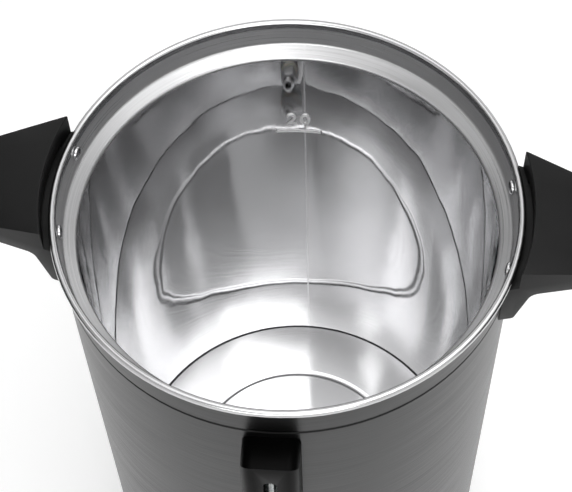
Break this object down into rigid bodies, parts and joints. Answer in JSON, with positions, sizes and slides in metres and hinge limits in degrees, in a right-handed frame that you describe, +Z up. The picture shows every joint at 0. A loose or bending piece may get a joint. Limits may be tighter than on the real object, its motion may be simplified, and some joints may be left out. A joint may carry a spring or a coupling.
{
  "type": "hot water urn",
  "caption": "Tall double-walled steel hot water urn, open at the top, with wing handles that lock a lid, a water gauge, a self-closing lever tap and a moulded base with dial and switch.",
  "frame": {"origin": "on the urn's axis, on the surface it stands on, at the bottom of the rubber foot ring", "axes": "+Z up along the urn's axis, -Y out of the front with the tap and gauge, X across the handles"},
  "size_m": [0.4236, 0.3824, 0.5457],
  "materials": {
    "tank_steel": "polished inside of the tank",
    "shell_steel": "satin, brushed round the sleeve",
    "screw_steel": "bright zinc",
    "handle_plastic": "fine moulded grain",
    "gauge_plastic": "smooth satin",
    "gauge_glass": "clear",
    "seal_rubber": "matt",
    "tap_plastic": "moulded, half gloss",
    "tap_chrome": "plated brass",
    "stem_steel": "turned",
    "cup_silicone": "milky silicone",
    "pin_brass": "turned brass",
    "base_plastic": "fine moulded grain",
    "plate_steel": "galvanised",
    "fascia_plastic": "satin panel",
    "ceramic_white": "ivory phenolic",
    "bulb_copper": "drawn copper",
    "rocker_red": "gloss",
    "lamp_amber": "clear amber",
    "lamp_green": "clear green",
    "spreader_aluminium": "as rolled",
    "element_steel": "dark sheath",
    "wire_sleeve": "silicone sleeve"
  },
  "bodies": {
    "root": {"inner_tank": "tank_steel", "tank_floor": "tank_steel", "outer_shell": "shell_steel", "handle_screws": "screw_steel", "gauge_screws": "screw_steel", "fascia_screws": "screw_steel", "inlet_screws": "screw_steel", "cutout_screws": "screw_steel", "tie_studs": "screw_steel", "tie_nuts": "screw_steel", "tap_spring": "screw_steel", "reset_spring": "screw_steel", "thermostat_nut": "screw_steel", "earth_tab": "screw_steel", "left_handle": "handle_plastic", "right_handle": "handle_plastic", "gauge_housing": "gauge_plastic", "gauge_cap": "gauge_plastic", "sight_tube": "gauge_glass", "gauge_seal": "seal_rubber", "foot_ring": "seal_rubber", "tap_bonnet": "tap_plastic", "tap_spacer": "tap_plastic", "tap_body": "tap_chrome", "tap_nut": "stem_steel", "tap_gaskets": "cup_silicone", "inlet_pins": "pin_brass", "base_ring": "base_plastic", "rocker_housing": "base_plastic", "power_inlet": "base_plastic", "base_plate": "plate_steel", "control_fascia": "fascia_plastic", "thermostat": "ceramic_white", "thermal_cutout": "ceramic_white", "reset_guide": "ceramic_white", "terminal_block": "ceramic_white", "sensor_bulb": "bulb_copper", "heating_lamp": "lamp_amber", "ready_lamp": "lamp_green", "heat_spreader": "spreader_aluminium", "heating_element": "element_steel", "wiring": "wire_sleeve"},
    "stem": {"tap_stem": "stem_steel", "tap_seat_cup": "cup_silicone", "tap_pin": "screw_steel"},
    "lever": {"tap_lever": "tap_plastic"},
    "dial": {"dial_knob": "base_plastic", "thermostat_spindle": "screw_steel"},
    "rocker": {"rocker": "rocker_red"},
    "reset": {"reset_button": "rocker_red"}
  },
  "joints": [
    {"name": "stem_lift", "type": "slide", "parent": "root", "child": "stem", "axis": [0, 0, 1], "range_m": [0, 0.00366], "stiffness_N_per_m": 1200, "deforming": ["tap_spring"]},
    {"name": "lever_pull", "type": "hinge", "parent": "stem", "child": "lever", "pos_m": [0, -0.2012, 0.164], "axis": [1, 0, 0], "range_deg": [0, 35]},
    {"name": "dial_turn", "type": "hinge", "parent": "root", "child": "dial", "pos_m": [0, -0.1612, 0.038], "axis": [0, 1, 0], "range_deg": [0, 270]},
    {"name": "rocker_tip", "type": "hinge", "parent": "root", "child": "rocker", "pos_m": [0.033, -0.1607, 0.038], "axis": [1, 0, 0], "range_deg": [-16, 0]},
    {"name": "reset_press", "type": "slide", "parent": "root", "child": "reset", "axis": [0, 0, 1], "range_m": [0, 0.003], "stiffness_N_per_m": 200, "deforming": ["reset_spring"]}
  ],
  "couplings": [
    {"joint": "lever_pull", "follows": "stem_lift", "rad_per_m": 166.67}
  ]
}
